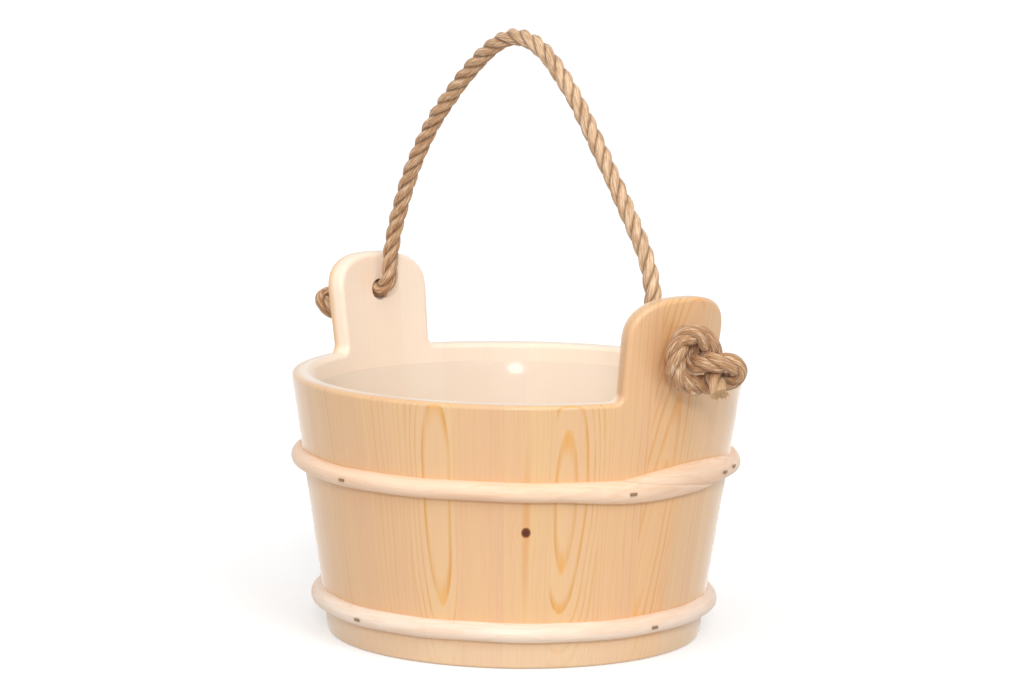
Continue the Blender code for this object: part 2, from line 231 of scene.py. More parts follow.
# Pine shows as pale spring wood with narrow orange summer lines, 2 to 3 mm apart: straight where a board is cut
# beside the log's heart, nested ovals where it is cut in front of it. The rings are worked out round that heart.
def pine(name, spring, pink, summer, fresh, roughness, lacquer):
    ring_width = 0.0027
    made, shader = new_material(name)
    stored = [add(made, "Attribute", attribute_name=label).outputs["Vector"]
              for label in ("board", "log", "figure", "knot")]
    board, log = stored[:2]
    place, heart, shape, branch = (add(made, "SeparateXYZ", {0: vector}).outputs for vector in stored)
    slant, edge_shade_depth = (add(made, "Attribute", attribute_name=label).outputs["Fac"] for label in ("slant", "edge_shade_depth"))
    tint = add(made, "Attribute", attribute_name="tint").outputs["Color"]

    # patterns that no two boards share: width across the grain and length along it in metres, and detail, of the
    # heart's slow wander, the streaks, the fine fibres (drawn 0.6 mm wide so that they show) and the broad tone
    own = add(made, "VectorMath", {0: log, 1: (37, 37, 37), 2: board}, operation="MULTIPLY_ADD")
    patterns = []
    for wide, long, detail in ((0.035, 0.110, 2.0), (0.003, 0.120, 3.0), (0.001, 0.030, 2.0), (0.014, 0.160, 2.0)):
        scaled = add(made, "VectorMath", {0: own, 1: (1 / wide, 1 / wide, 1 / long)}, operation="MULTIPLY")
        patterns.append(add(made, "TexNoise", {"Vector": scaled, "Scale": 1.0, "Detail": detail}))
    slow, streak, fibre, broad = patterns

    # a branch's stub: how far each point lies from it in its own radii, and how the grain parts round it
    beside = add(made, "Math", {0: place[0], 1: branch[0]}, operation="SUBTRACT")
    above = add(made, "Math", {0: place[2], 1: branch[1]}, operation="SUBTRACT")
    spot = add(made, "CombineXYZ", {0: beside, 1: above})
    away = add(made, "VectorMath", {0: spot}, operation="LENGTH")
    radii = add(made, "Math", {0: away, 1: branch[2]}, operation="DIVIDE")
    square = add(made, "Math", {0: radii, 1: radii}, operation="MULTIPLY")
    fading = add(made, "Math", {0: square, 1: -0.10}, operation="MULTIPLY")
    pull = add(made, "Math", {0: fading}, operation="EXPONENT")
    parting = add(made, "Math", {0: pull, 1: beside}, operation="MULTIPLY")

    # rings: distance from the log's heart, which leans and bows along the board and wanders a little
    wander = add(made, "MapRange", {0: slow, 1: 0.2, 2: 0.8, 3: -0.0028, 4: 0.0028}, clamp=False)
    rise = add(made, "Math", {0: place[2], 1: heart[2]}, operation="SUBTRACT")
    bow = add(made, "Math", {0: shape[1], 1: rise, 2: shape[0]}, operation="MULTIPLY_ADD")
    behind = add(made, "Math", {0: bow, 1: rise, 2: heart[1]}, operation="MULTIPLY_ADD")
    deep = add(made, "Math", {0: behind, 1: place[1]}, operation="ADD")
    across = add(made, "Math", {0: place[0], 1: heart[0]}, operation="SUBTRACT")
    drifted = add(made, "Math", {0: rise, 1: slant}, operation="MULTIPLY")
    straight = add(made, "Math", {0: across, 1: drifted}, operation="SUBTRACT")
    parted = add(made, "Math", {0: straight, 1: parting}, operation="SUBTRACT")
    aside = add(made, "Math", {0: parted, 1: wander}, operation="ADD")
    from_heart = add(made, "CombineXYZ", {0: aside, 1: deep})
    radius = add(made, "VectorMath", {0: from_heart}, operation="LENGTH")
    decade = add(made, "Math", {0: radius, 1: 0.0075}, operation="DIVIDE")
    growth = add(made, "TexNoise", {"W": decade, "Scale": 1.0, "Detail": 1.0}, noise_dimensions="1D")
    even_count = add(made, "Math", {0: radius, 1: ring_width}, operation="DIVIDE")
    count = add(made, "Math", {0: growth, 1: 2.2, 2: even_count}, operation="MULTIPLY_ADD")
    year = add(made, "Math", {0: count}, operation="FRACT")
    number = add(made, "Math", {0: count}, operation="FLOOR")
    summer_rain = add(made, "TexWhiteNoise", {"W": number}, noise_dimensions="1D")
    colouring = add(made, "MapRange", {0: summer_rain, 3: 0.25, 4: 1.0})
    ripening = add(made, "MapRange", {0: year, 1: 0.55, 2: 0.90}, **SOFT)
    stopping = add(made, "MapRange", {0: year, 1: 0.90, 2: 1.0, 3: 1.0, 4: 0.0}, **SOFT)
    edge = add(made, "Math", {0: ripening, 1: stopping}, operation="MULTIPLY")
    line = add(made, "Math", {0: edge, 1: colouring}, operation="MULTIPLY")

    # golden where the knife lies along a ring, in the hearts of the ovals
    off_middle = add(made, "Math", {0: aside, 1: radius}, operation="DIVIDE")
    off_middle = add(made, "Math", {0: off_middle}, operation="ABSOLUTE")
    along_ring = add(made, "MapRange", {0: off_middle, 1: 0.05, 2: 0.32, 3: 1.0, 4: 0.0}, **SOFT)
    gold = add(made, "Math", {0: along_ring, 1: ripening}, operation="MULTIPLY")
    gold = add(made, "Math", {0: gold, 1: shape[2]}, operation="MULTIPLY")
    gold = add(made, "Math", {0: gold, 1: 0.55}, operation="MULTIPLY")

    # the streaks make the lines uneven
    uneven = add(made, "MapRange", {0: streak, 1: 0.3, 2: 0.7, 3: 0.35, 4: 1.35})
    strong = add(made, "Math", {0: uneven, 1: shape[2]}, operation="MULTIPLY")
    grain = add(made, "Math", {0: line, 1: strong}, operation="MULTIPLY", use_clamp=True)

    # colour: soft bands about 10 mm wide, some a little pinker; towards its feet the lacquered wall is painted paler,
    # as painted light for the white floor's bounce
    foot = 0.6 * lacquer
    band = add(made, "MapRange", {0: broad, 1: 0.32, 2: 0.68})
    ground = add(made, "Mix", {0: band, 6: linear(pink), 7: linear(spring)}, **COLOUR)
    lined = add(made, "Mix", {0: grain, 6: ground, 7: linear(summer)}, **COLOUR)
    wood = add(made, "Mix", {0: gold, 6: lined, 7: linear("#ECAE5E")}, **COLOUR)
    light = add(made, "MapRange", {0: fibre, 1: 0.3, 2: 0.7, 3: 0.975, 4: 1.02})
    floor_bounce_share = add(made, "MapRange", {0: place[2], 1: 0.010, 2: 0.026, 3: foot, 4: 0.0}, **SOFT)
    floor_bounce_paled = add(made, "Mix", {0: floor_bounce_share, 6: wood, 7: linear("#F0D6B8")}, **COLOUR)
    toned = add(made, "Mix", {0: 1.0, 6: floor_bounce_paled, 7: tint}, **TINTED)
    lit = add(made, "Mix", {0: 1.0, 6: toned, 7: light}, **TINTED)

    # the stub: a long resinous streak above and below it, and its own dark wood
    long_spot = add(made, "VectorMath", {0: spot, 1: (1.25, 0.075, 0.0)}, operation="MULTIPLY")
    long_away = add(made, "VectorMath", {0: long_spot}, operation="LENGTH")
    long_radii = add(made, "Math", {0: long_away, 1: branch[2]}, operation="DIVIDE")
    resin = add(made, "MapRange", {0: long_radii, 1: 0.1, 2: 1.5, 3: 0.60, 4: 0.0}, **SOFT)
    streaked = add(made, "Mix", {0: resin, 6: lit, 7: linear("#DC9C5C")}, **COLOUR)
    collar = add(made, "MapRange", {0: radii, 1: 0.80, 2: 1.08, 3: 1.0, 4: 0.0}, **SOFT)
    stub = add(made, "MapRange", {0: radii, 1: 0.45, 2: 1.0, 3: 0.0, 4: 1.0}, **SOFT)
    stub_wood = add(made, "Mix", {0: stub, 6: linear("#571F00"), 7: linear("#96540F")}, **COLOUR)
    knotted = add(made, "Mix", {0: collar, 6: streaked, 7: stub_wood}, **COLOUR)

    # the inside of each board is freshly turned and paler than its outside; the pale colour reaching over the rim's
    # rounding is partly a painted highlight for the light from above, and on the right ear's sawn edge the darker
    # outside colour goes deeper, as painted shade
    depth = add(made, "Math", {0: place[1], 1: edge_shade_depth}, operation="SUBTRACT")
    inside = add(made, "MapRange", {0: depth, 1: 0.10 * WALL, 2: 0.60 * WALL, 3: 0.0, 4: 0.80}, **SOFT)
    pale = add(made, "Mix", {0: 1.0, 6: linear(fresh), 7: tint}, **TINTED)
    turned = add(made, "Mix", {0: inside, 6: knotted, 7: pale}, **COLOUR)
    gloss = add(made, "MapRange", {0: fibre, 1: 0.2, 2: 0.8, 3: roughness - 0.06, 4: roughness + 0.06})
    bump = add(made, "Bump", {"Strength": 0.12, "Distance": 0.00008, "Height": fibre})
    feed(made, shader, {"Base Color": turned, "Roughness": gloss, "Normal": bump, "IOR": 1.45,
                        "Specular IOR Level": 0.2, "Coat Weight": 0.6 * lacquer, "Coat IOR": 1.5,
                        "Coat Roughness": 0.25, "Sheen Weight": 0.65 * lacquer, "Sheen Roughness": 0.25})
    return made


# clear satin lacquer over turned pine: the colour stays warm and the wall picks up a soft shine at its edges
lacquered_pine = pine("clear_lacquered_pine", "#E9C293", "#E7BC93", "#DDA25A", "#FFF1E2", 0.42, 1.0)

NO_KNOT = (0.0, 0.0, 0.00001)
# heart of the log (across, behind, height), figure (lean, bow, strength of the lines) and tint of the boards that
# face the camera, counted round from the right ear's middle board; the rest are drawn from a seed
GRAIN = {
    0: ((-0.004, 0.009, 0.090), (0.020, 0.5, 1.00), (1.030, 0.960, 0.860)),
    1: ((0.050, 0.020, 0.07), (0.01, 0.0, 0.65), (0.990, 0.970, 0.935)),
    13: ((-0.070, 0.020, 0.07), (0.01, 0.0, 0.30), (1.00, 0.985, 0.960)),
    14: ((0.040, 0.020, 0.07), (0.01, 0.0, 0.60), (1.00, 0.965, 0.920)),
    15: ((0.080, 0.020, 0.07), (0.00, 0.0, 0.30), (1.00, 0.970, 0.930)),
    19: ((0.060, 0.020, 0.07), (0.02, 0.0, 0.35), (1.00, 0.985, 0.970)),
    20: ((-0.025, 0.012, 0.07), (-0.02, 0.4, 0.50), (0.98, 0.970, 0.955)),
    21: ((0.085, 0.030, 0.07), (0.01, 0.0, 0.25), (0.98, 0.945, 0.930)),
    22: ((0.030, 0.018, 0.09), (0.015, 0.3, 0.45), (0.99, 0.960, 0.930)),
    23: ((0.0045, 0.013, 0.096), (0.000, 0.85, 0.95), (1.00, 0.995, 0.955)),
    24: ((-0.075, 0.020, 0.07), (0.01, 0.0, 0.20), (0.98, 0.940, 0.915)),
    25: ((0.090, 0.030, 0.07), (0.00, 0.0, 0.28), (0.99, 0.970, 0.920)),
    26: ((-0.006, 0.010, 0.096), (0.000, 1.5, 1.00), (1.00, 0.990, 0.935)),
    27: ((0.050, 0.020, 0.07), (0.01, 0.0, 0.55), (1.01, 0.965, 0.910)),
}
KNOTS = {25: (-0.0011, 0.0791, 0.0031)}
# how far a board's grain runs out sideways as it rises
SLANTS = {0: 0.11, 1: 0.03, 20: -0.04, 21: 0.03, 22: -0.03, 24: 0.02, 27: -0.03}
grain_seed = Random(28)


def grain_of(index):
    """Heart, figure, tint and knot of one board of the wall."""
    side = grain_seed.choice((-1, 1))
    heart = (side * grain_seed.uniform(0.025, 0.100), grain_seed.uniform(0.010, 0.030), grain_seed.uniform(0.04, 0.11))
    figure = (grain_seed.uniform(-0.03, 0.03), grain_seed.uniform(0.0, 0.5), grain_seed.uniform(0.25, 0.75))
    pink = grain_seed.uniform(0.0, 1.0)
    tint = (1.0 - 0.02 * pink, 0.99 - 0.05 * pink, 0.95 - 0.03 * pink)
    if index in GRAIN:
        heart, figure, tint = GRAIN[index]
    slant = (SLANTS.get(index, 0.0),) * 3
    return dict(log=heart, figure=figure, tint=tint, knot=KNOTS.get(index, NO_KNOT), slant=slant)


half_stave = STAVE_WIDTH / 2 - GLUE_LINE / 2
blank = plank("stave_blank", (-half_stave, 0, 0), (half_stave, WALL, RIM_HEIGHT))
ease(blank)
cut_croze(blank, STAVE_WIDTH)
add_columns(blank, -half_stave, half_stave, STAVE_COLUMNS)

plain_indexes = [i for i in range(STAVES) if 2 <= i % (STAVES // 2) <= STAVES // 2 - 2]
for number, index in enumerate(plain_indexes, 1):
    stave = copy_of(blank, f"stave_board_{number:02d}")
    bend(stave, index * STAVE_ANGLE)
    mark_all(stave, **grain_of(index))
    fit(stave, lacquered_pine, "lacquered_pine", "bucket", f"stave_{number:02d}")
bpy.data.objects.remove(blank)

# Ear staves: three taller boards on each side, left standing above the rim when the rest are cut level.
# The ear is sawn to a rounded outline with small fillets into the rim, its edges are rounded over by hand,
# and a 12 mm hole for the rope is bored through its middle.
EAR_STAVES = 3
EAR_WIDTH = 0.0700
EAR_TOP = RIM_HEIGHT + 0.0570
EAR_SHOULDER = 0.0240
EAR_ROUNDNESS = 2.6
EAR_FILLET = 0.0050
HOLE_HEIGHT = RIM_HEIGHT + 0.0350
HOLE_DIAMETER = 0.0120
HOLE_ROUNDING = 0.0008
# how far through the wall the darker lacquered colour reaches on each ear's sawn edge, painted shade on the right ear's
# edge
EAR_EDGE_SHADE = {"right": 0.40, "left": 0.0}


def ear_outline():
    """Distance round the rim and height along the ear's outline, between the rim's two ends."""
    half = EAR_WIDTH / 2
    spring = EAR_TOP - EAR_SHOULDER
    fillet_steps, crown_steps = 8, 48
    left = []
    for step in range(fillet_steps + 1):
        turn = pi / 2 * step / fillet_steps
        left.append((-half - EAR_FILLET * (1 - sin(turn)), RIM_HEIGHT + EAR_FILLET * (1 - cos(turn))))
    crown = []
    for step in range(crown_steps + 1):
        turn = pi * (1 - step / crown_steps)
        across = half * abs(cos(turn)) ** (2 / EAR_ROUNDNESS)
        rise = sin(turn) ** (2 / EAR_ROUNDNESS) if 0 < step < crown_steps else 0.0
        crown.append((across if cos(turn) > 0 else -across, spring + EAR_SHOULDER * rise))
    return left + crown + [(-across, height) for across, height in reversed(left)]


def clamp(share):
    return min(1.0, max(0.0, share))


def flat_shape(name, outline):
    """Add a filled flat shape, upright in the XZ plane."""
    bpy.ops.mesh.primitive_circle_add(vertices=len(outline), fill_type="NGON")
    made = bpy.context.object
    made.name = name
    for vertex, (across, height) in zip(made.data.vertices, outline):
        vertex.co = (across, 0, height)
    return made


half_ear = EAR_STAVES * STAVE_WIDTH / 2 - GLUE_LINE / 2
foot = [(-half_ear, 0.0), (-half_ear, RIM_HEIGHT)]
ear = flat_shape("ear_blank", foot + ear_outline() + [(-across, height) for across, height in reversed(foot)])
work_on(ear, "EDIT")
bpy.ops.mesh.extrude_region_move(TRANSFORM_OT_translate={"value": (0, WALL, 0)})
bpy.ops.mesh.select_all(action="SELECT")
bpy.ops.mesh.normals_make_consistent(inside=False)
ease(ear)
cut_croze(ear, 2 * half_ear)
bpy.ops.mesh.primitive_cylinder_add(vertices=48, radius=HOLE_DIAMETER / 2, depth=2 * WALL, rotation=(pi / 2, 0, 0),
                                    location=(0, WALL / 2, HOLE_HEIGHT))
bpy.ops.object.transform_apply()
drill = bpy.context.object
for vertex in drill.data.vertices:
    # wider towards the inside, so that the bore is straight once the board is bent
    vertex.co.x *= RIM_RADIUS / (outer_radius(HOLE_HEIGHT) - vertex.co.y)
carve(ear, drill)
work_on(ear, "EDIT")
hole, hole_reach = Vector((0, 0, HOLE_HEIGHT)), 1.1 * HOLE_DIAMETER / 2
round_edges(ear, HOLE_ROUNDING, 3, lambda a, b: abs(a.y - b.y) < NEAR and max(
    ((end - hole) * Vector((1, 0, 1))).length for end in (a, b)) < hole_reach)
work_on(ear)

for side, middle in (("right", 0), ("left", STAVES // 2)):
    for offset in (-1, 0, 1):
        board = copy_of(ear, f"ear_board_{side}_{offset + 2}")
        work_on(board, "EDIT")
        low, high = offset * STAVE_WIDTH - half_stave, offset * STAVE_WIDTH + half_stave
        if offset > -1:
            saw(low, (1, 0, 0), clear_inner=True)
        if offset < 1:
            saw(high, (1, 0, 0), clear_outer=True)
        add_columns(board, low, high, STAVE_COLUMNS)
        for vertex in board.data.vertices:
            vertex.co.x -= offset * STAVE_WIDTH
        index = (middle + offset) % STAVES
        rises = [clamp((v.co.z - RIM_HEIGHT) / EAR_FILLET) for v in board.data.vertices]
        # painted shade: the right ear's sawn edge keeps the darker outside colour deeper in
        mark(board, "edge_shade_depth", [(EAR_EDGE_SHADE[side] * WALL * rise,) * 3 for rise in rises])
        bend(board, index * STAVE_ANGLE)
        mark_all(board, **grain_of(index))
        fit(board, lacquered_pine, "lacquered_pine", "bucket", f"ear_stave_{side}_{offset + 2}")
bpy.data.objects.remove(ear)

# Bottom: four pine boards glued side by side, planed both sides and sawn round.
# Its edge is sprung into the staves' groove, 7 mm above their feet.
BOARDS = 4
BOTTOM_RADIUS = outer_radius(BOTTOM_RAISE) - WALL + CROZE_DEPTH
BOARD_EDGE = 0.0005
BOARD_GAP = 0.0001

# planed pine without lacquer: drier, paler and duller than the wall
planed_pine = pine("planed_pine", "#F1D3AE", "#EECBA8", "#DCA772", "#F8E2C6", 0.62, 0.0)
board_seed = Random(4)
bpy.ops.mesh.primitive_cylinder_add(vertices=128, radius=BOTTOM_RADIUS, depth=BOTTOM_THICKNESS,
                                    location=(0, 0, BOTTOM_RAISE + BOTTOM_THICKNESS / 2))
bpy.ops.object.transform_apply()
disc = bpy.context.object
board_width = 2 * BOTTOM_RADIUS / BOARDS
for number in range(1, BOARDS + 1):
    board = copy_of(disc, f"bottom_plank_{number}")
    work_on(board, "EDIT")
    low = -BOTTOM_RADIUS + (number - 1) * board_width
    if number > 1:
        saw(low + BOARD_GAP, (0, 1, 0), clear_inner=True)
    if number < BOARDS:
        saw(low + board_width - BOARD_GAP, (0, 1, 0), clear_outer=True)
    round_edges(board, BOARD_EDGE, 2, lambda a, b: abs(a.z - b.z) < NEAR)
    work_on(board)
    middle = low + board_width / 2
    mark(board, "board", [(v.co.y - middle, v.co.z - BOTTOM_RAISE, v.co.x) for v in board.data.vertices])
    mark_all(board, log=(board_seed.uniform(-0.04, 0.04), board_seed.uniform(0.01, 0.04), 0.0),
             figure=(0.01, board_seed.uniform(0.0, 0.3), 0.7), tint=(1.0, board_seed.uniform(0.96, 0.99), 0.95),
             knot=NO_KNOT, slant=(0.0, 0.0, 0.0))
    fit(board, planed_pine, "planed_pine", "bucket", f"bottom_board_{number}")
bpy.data.objects.remove(disc)

# Hoops: each is one split and peeled spruce rod, half round, drawn tight round the wall.
# Its two ends are tapered and lie over each other in a long slanting scarf; the upper one's is over the right ear,
# the lower one's is round the back over the left ear.
UPPER_HOOP_HEIGHT = 0.1023
LOWER_HOOP_HEIGHT = 0.0215
HOOP_WIDTH = 0.0110
HOOP_PROUD = 0.0065
HOOP_TIP_WIDTH = 0.0002
HOOP_LINE_DEPTH = 0.0016
HOOP_LINE_WIDTH = 0.0008
HOOP_LEAD = radians(13)
HOOP_OVERLAP = radians(37)
HOOP_SWELL = 0.0050
HOOP_SWELL_REACH = radians(50)
HOOP_DIP = 0.0030
HOOP_DIP_LEAD = radians(18)
HOOP_SEAM = 0.0001
HOOP_SEAT = 0.0004
HOOP_SIDES = 28
HOOP_CUTS = 16
LEAN = atan(SLOPE)


def hoop_edges(turn):
    """Lower and upper edge of the strip, from its middle line, at a turn from its first tip."""
    half = HOOP_WIDTH / 2
    low, high = -half, half
    if turn < HOOP_SWELL_REACH:
        high += HOOP_SWELL * sin(pi * turn / HOOP_SWELL_REACH)
    if turn < HOOP_OVERLAP:
        share = turn / HOOP_OVERLAP
        low = half - HOOP_WIDTH * share + HOOP_SEAM / 2
        high += HOOP_TIP_WIDTH * (1 - share)
    into_dip = turn - tau + HOOP_DIP_LEAD
    if into_dip > 0:
        low -= HOOP_DIP * sin(pi * into_dip / (HOOP_OVERLAP + HOOP_DIP_LEAD))
    if turn > tau:
        share = (turn - tau) / HOOP_OVERLAP
        high = half - HOOP_WIDTH * share - HOOP_SEAM / 2
        low -= HOOP_TIP_WIDTH * share
    return low, high


def hoop_crown(turn, rise):
    """How far the strip stands out: in the scarf both ends are shaved to one round, with a line that opens slowly."""
    low, high = hoop_edges(turn)
    line, opening = 0.0, 0.0
    if turn < HOOP_OVERLAP:
        line, opening = low, turn / HOOP_OVERLAP
        low = hoop_edges(turn + tau)[0]
    elif turn > tau:
        line, opening = high, (turn - tau) / HOOP_OVERLAP
        high = hoop_edges(turn - tau)[1]
    share = (2 * rise - low - high) / (high - low)
    groove = HOOP_LINE_DEPTH * opening ** 1.5 * exp(-((rise - line) / HOOP_LINE_WIDTH) ** 2)
    return max(0.0, HOOP_PROUD * sqrt(max(0.0, 1 - share ** 2)) - groove)


def hoop_point(turn, around, height, start):
    """Place on the strip's skin: around runs over its round front, then back along its flat."""
    low, high = hoop_edges(turn)
    angle = start + turn
    rise = (low + high) / 2 + (high - low) / 2 * cos(around)
    front = sin(around) > -0.01
    out = front * (HOOP_SEAT + hoop_crown(turn, rise) * (1 + 0.012 * sin(9 * angle + 2)))
    # split by hand, so it waves a little
    rise += 0.00025 * sin(5 * angle) + 0.00015 * sin(13 * angle + 1)
    z = height + rise * cos(LEAN)
    point = polar(outer_radius(z) + out * cos(LEAN), angle, z - out * sin(LEAN))
    return point, (turn * RIM_RADIUS, rise, out)


# peeled spruce: almost white, with long faint lines where the knife crossed the rings, under a satin lacquer
spruce, shader = new_material("peeled_spruce")
strip_place = add(spruce, "Attribute", attribute_name="strip").outputs["Vector"]
slow_place = add(spruce, "VectorMath", {0: strip_place, 1: (1 / 0.060, 1 / 0.008, 1 / 0.008)}, operation="MULTIPLY")
slow = add(spruce, "TexNoise", {"Vector": slow_place, "Scale": 1.0, "Detail": 3.0})
flat_strip = add(spruce, "VectorMath", {0: strip_place, 1: (0, 1, 1)}, operation="MULTIPLY")
from_pith = add(spruce, "VectorMath", {0: flat_strip}, operation="LENGTH")
wandered = add(spruce, "Math", {0: slow, 1: 0.0060, 2: from_pith}, operation="MULTIPLY_ADD")
rings = add(spruce, "Math", {0: wandered, 1: 0.0012}, operation="DIVIDE")
ring = add(spruce, "Math", {0: rings}, operation="FRACT")
ring_line = add(spruce, "MapRange", {0: ring, 1: 0.45, 2: 1.0, 3: 0.0, 4: 0.30}, **SOFT)
fine_place = add(spruce, "VectorMath", {0: strip_place, 1: (1 / 0.020, 1 / 0.0009, 1 / 0.0009)}, operation="MULTIPLY")
fine = add(spruce, "TexNoise", {"Vector": fine_place, "Scale": 1.0, "Detail": 3.0})
base = add(spruce, "Mix", {0: ring_line, 6: linear("#FAE3C8"), 7: linear("#E8C197")}, **COLOUR)
blush = add(spruce, "MapRange", {0: slow, 1: 0.45, 2: 0.75, 3: 0.0, 4: 0.6})
blushed = add(spruce, "Mix", {0: blush, 6: base, 7: linear("#F3CBA4")}, **COLOUR)
shade = add(spruce, "MapRange", {0: fine, 1: 0.3, 2: 0.7, 3: 0.95, 4: 1.02})
# each rod's tint: the upper rod's is its own tone, the lower rod's paler and cooler one is painted light for the white
# floor's bounce
rod_tone_and_bounce = add(spruce, "Attribute", attribute_name="tint").outputs["Color"]
tone_and_bounce = add(spruce, "Mix", {0: 1.0, 6: blushed, 7: rod_tone_and_bounce}, **TINTED)
tinted = add(spruce, "Mix", {0: 1.0, 6: tone_and_bounce, 7: shade}, **TINTED)
dull = add(spruce, "MapRange", {0: fine, 1: 0.2, 2: 0.8, 3: 0.42, 4: 0.56})
bump = add(spruce, "Bump", {"Strength": 0.35, "Distance": 0.00015, "Height": fine})
feed(spruce, shader, {"Base Color": tinted, "Roughness": dull, "Normal": bump, "IOR": 1.45, "Coat Weight": 0.2,
                      "Coat Roughness": 0.25})

bpy.ops.mesh.primitive_cylinder_add(vertices=HOOP_SIDES, radius=1, depth=1, location=(0, 0, 0.5))
bpy.ops.object.transform_apply()
rod = bpy.context.object
work_on(rod, "EDIT")
for half_way in range(2):
    pick_edges(rod, lambda a, b: abs(a.z - b.z) > NEAR)
    bpy.ops.mesh.subdivide(number_cuts=HOOP_CUTS)
work_on(rod)
# the lower hoop's tint is painted light for the floor's bounce
for name, height, start, tint in (("upper_hoop", UPPER_HOOP_HEIGHT, -HOOP_LEAD, (0.98, 0.885, 0.845)),
                                  ("lower_hoop", LOWER_HOOP_HEIGHT, pi - HOOP_LEAD, (0.97, 0.995, 1.09))):
    strip = copy_of(rod, f"{name}_rod")
    mark_all(strip, tint=tint)
    flat = []
    for vertex in strip.data.vertices:
        around = Vector((1, 0)).angle_signed(Vector((vertex.co.x, -vertex.co.y)))
        vertex.co, place = hoop_point(vertex.co.z * (tau + HOOP_OVERLAP), around, height, start)
        flat.append((place[0] + start, place[1], place[2]))
    mark(strip, "strip", flat)
    work_on(strip, "EDIT")
    bpy.ops.mesh.normals_make_consistent(inside=False)
    fit(strip, spruce, "hoop_wood", "bucket", name, crease=50)
bpy.data.objects.remove(rod)

# Brads: small T-headed nails, six to a hoop, driven through the rod into the stave behind it.
# They are drawn steel with a brown tarnish; only the narrow heads show, so their CAD solids stay.

# tarnished steel: a dull brown metal with faint mottling about 1 mm across
dark_steel, shader = new_material("dark_drawn_steel")
mottle_place = add(dark_steel, "TexCoord").outputs["Object"]
mottle = add(dark_steel, "TexNoise", {"Vector": mottle_place, "Scale": 1 / 0.001, "Detail": 3.0})
steel = add(dark_steel, "Mix", {0: mottle, 6: linear("#86694E"), 7: linear("#B2957A")}, **COLOUR)
dull = add(dark_steel, "MapRange", {0: mottle, 3: 0.38, 4: 0.62})
feed(dark_steel, shader, {"Base Color": steel, "Roughness": dull, "Metallic": 1.0})
for name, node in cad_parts.items():
    if "_brad_" in name:
        node.data.materials.clear()
        node.data.materials.append(dark_steel)

# Liner: a thin moulded pail of natural polyethylene that keeps the water off the wood.
# It stands loose on the bottom, 11 mm below the rim, and lifts out by its edge.
LINER_WALL = 0.0014
LINER_TOP = RIM_HEIGHT - 0.0110
LINER_GAP = 0.0006
LINER_CORNER = 0.0060
LINER_FLOOR = BOTTOM_RAISE + BOTTOM_THICKNESS + 0.0003
LINER_FLARE_REACH = 0.0140
LINER_FLARE_OUTSIDE = 0.0004
LINER_FLARE_INSIDE = 0.0014
LINER_STEPS = 128


def put(name, data):
    """Add a new thing made of the given data."""
    made = bpy.data.objects.new(name, data)
    bpy.context.collection.objects.link(made)
    return made


def piece_of(name, points, edges, faces):
    """Add a piece from its points and what joins them."""
    mesh = bpy.data.meshes.new(name)
    mesh.from_pydata(points, edges, faces)
    return put(name, mesh)


def liner_outside(height):
    return outer_radius(height) - WALL - LINER_GAP


def liner_flare(height):
    """Share of the flare reached: the wall curves outwards and thins towards its edge."""
    return max(0.0, 1 - (LINER_TOP - height) / LINER_FLARE_REACH) ** 2


corner_steps, flare_steps = 8, 14


def liner_corner(floor, inset, rounding):
    """The section's rounded corner, from a floor up to the wall."""
    corner = []
    for step in range(corner_steps + 1):
        turn = pi / 2 * step / corner_steps
        height = floor + rounding * (1 - cos(turn))
        corner.append((liner_outside(height) - inset - rounding * (1 - sin(turn)), height))
    return corner


liner_section = [(0.0, LINER_FLOOR), *liner_corner(LINER_FLOOR, 0.0, LINER_CORNER)]
flare_heights = [LINER_TOP - LINER_FLARE_REACH * (1 - step / flare_steps) for step in range(flare_steps + 1)]
for height in flare_heights:
    liner_section.append((liner_outside(height) + LINER_FLARE_OUTSIDE * liner_flare(height), height))
lip = (LINER_WALL + LINER_FLARE_OUTSIDE - LINER_FLARE_INSIDE) / 2
for step in range(1, corner_steps):
    turn = pi * step / corner_steps
    liner_section.append((liner_outside(LINER_TOP) + LINER_FLARE_OUTSIDE - lip * (1 - cos(turn)),
                          LINER_TOP + lip * sin(turn)))
for height in reversed(flare_heights):
    liner_section.append((liner_outside(height) - LINER_WALL + LINER_FLARE_INSIDE * liner_flare(height), height))
liner_section += reversed(liner_corner(LINER_FLOOR + LINER_WALL, LINER_WALL, LINER_CORNER - LINER_WALL))
liner_section.append((0.0, LINER_FLOOR + LINER_WALL))

liner = piece_of("liner_pail", [(radius, 0, height) for radius, height in liner_section],
                 [(i, i + 1) for i in range(len(liner_section) - 1)], [])
work_on(liner, "EDIT")
bpy.ops.mesh.spin(steps=LINER_STEPS, angle=tau, center=(0, 0, 0), axis=(0, 0, 1))
bpy.ops.mesh.select_all(action="SELECT")
bpy.ops.mesh.remove_doubles(threshold=0.00001)
bpy.ops.mesh.normals_make_consistent(inside=False)

# natural polyethylene: milky and see-through, so the wood shows faintly, with a soft waxy gloss
polyethylene, shader = new_material("natural_polyethylene")
cloud_place = add(polyethylene, "TexCoord").outputs["Object"]
cloud = add(polyethylene, "TexNoise", {"Vector": cloud_place, "Scale": 1 / 0.025, "Detail": 3.0})
milk = add(polyethylene, "Mix", {0: cloud, 6: linear("#FFF3E2"), 7: linear("#FFEBD2")}, **COLOUR)
gloss = add(polyethylene, "MapRange", {0: cloud, 1: 0.3, 2: 0.7, 3: 0.14, 4: 0.20})
feed(polyethylene, shader, {"Base Color": milk, "Roughness": gloss, "Alpha": 0.045, "IOR": 1.51,
                            "Specular IOR Level": 1.0, "Coat Weight": 1.0, "Coat IOR": 1.9, "Coat Roughness": 0.10})
fit(liner, polyethylene, "liner_plastic", "inner_liner", "liner")

